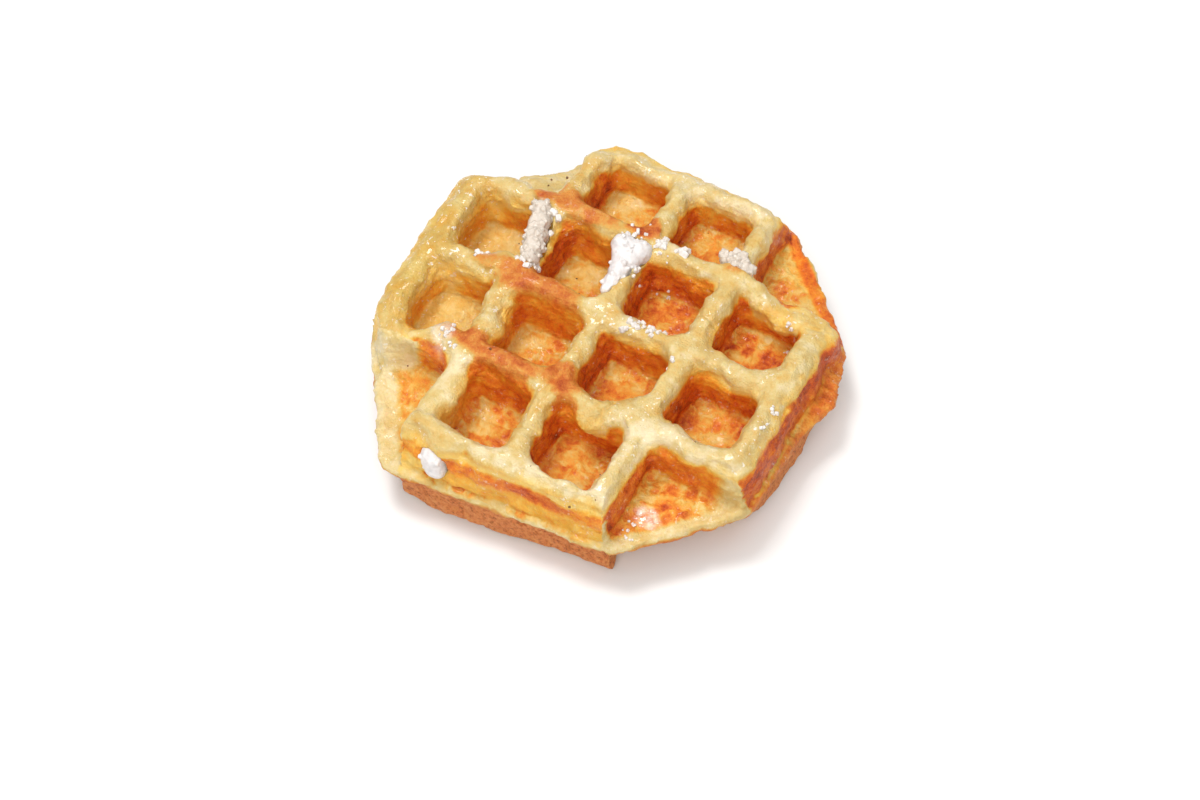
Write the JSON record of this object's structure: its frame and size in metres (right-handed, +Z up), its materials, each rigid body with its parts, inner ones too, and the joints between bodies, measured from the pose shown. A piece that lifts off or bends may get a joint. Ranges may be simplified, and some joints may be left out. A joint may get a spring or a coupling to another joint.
{
  "type": "liege waffle",
  "caption": "Thick eight-sided sugar waffle with a deep grid of square pockets on both faces, a seam round its edge and lumps of pearl sugar baked into its ridges.",
  "frame": {"origin": "on the surface that the waffle lies on, under the middle of its outline", "axes": "+Z up through the waffle, from the underside to the pockets that face up; X and Y along its ridges"},
  "size_m": [0.1296, 0.125, 0.0369],
  "materials": {
    "crust": "baked dough: cream-yellow ridges, orange-brown pockets, satin with small glazed spots of melted sugar",
    "pearl_sugar": "white sugar, grainy and half melted to clear crystals"
  },
  "bodies": {
    "root": {"waffle": "crust", "pearl_sugar_large": "pearl_sugar", "pearl_sugar_long": "pearl_sugar", "pearl_sugar_edge": "pearl_sugar", "pearl_sugar_nugget": "pearl_sugar"}
  },
  "joints": []
}
